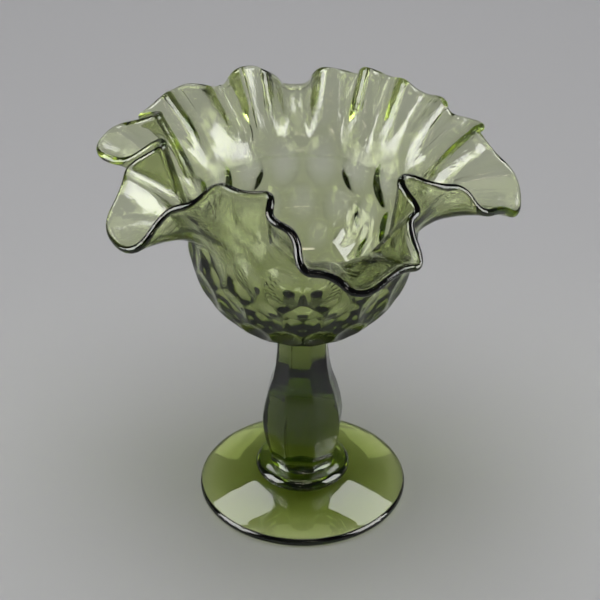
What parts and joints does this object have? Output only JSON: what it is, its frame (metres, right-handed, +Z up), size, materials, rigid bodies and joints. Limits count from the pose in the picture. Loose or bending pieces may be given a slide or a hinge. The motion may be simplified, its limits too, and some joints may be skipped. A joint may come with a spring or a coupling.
{
  "type": "footed glass compote dish",
  "caption": "Footed olive-green glass dish with a thumbprint bowl, an eight-sided stem, a round foot and a flared, double-crimped ruffled rim.",
  "frame": {"origin": "centre of the foot's flat underside, on the surface that the dish stands on", "axes": "+Z up through the stem and the bowl, -Y towards the front lobe of the rim, +X to the right seen from the front"},
  "size_m": [0.1551, 0.1434, 0.1646],
  "materials": {
    "olive_glass": "clear olive-green pressed glass, fire polished, darker where it is thick"
  },
  "bodies": {
    "root": {"foot": "olive_glass", "foot_collar": "olive_glass", "stem": "olive_glass", "wafer": "olive_glass", "bowl": "olive_glass", "crimped_rim": "olive_glass"}
  },
  "joints": []
}
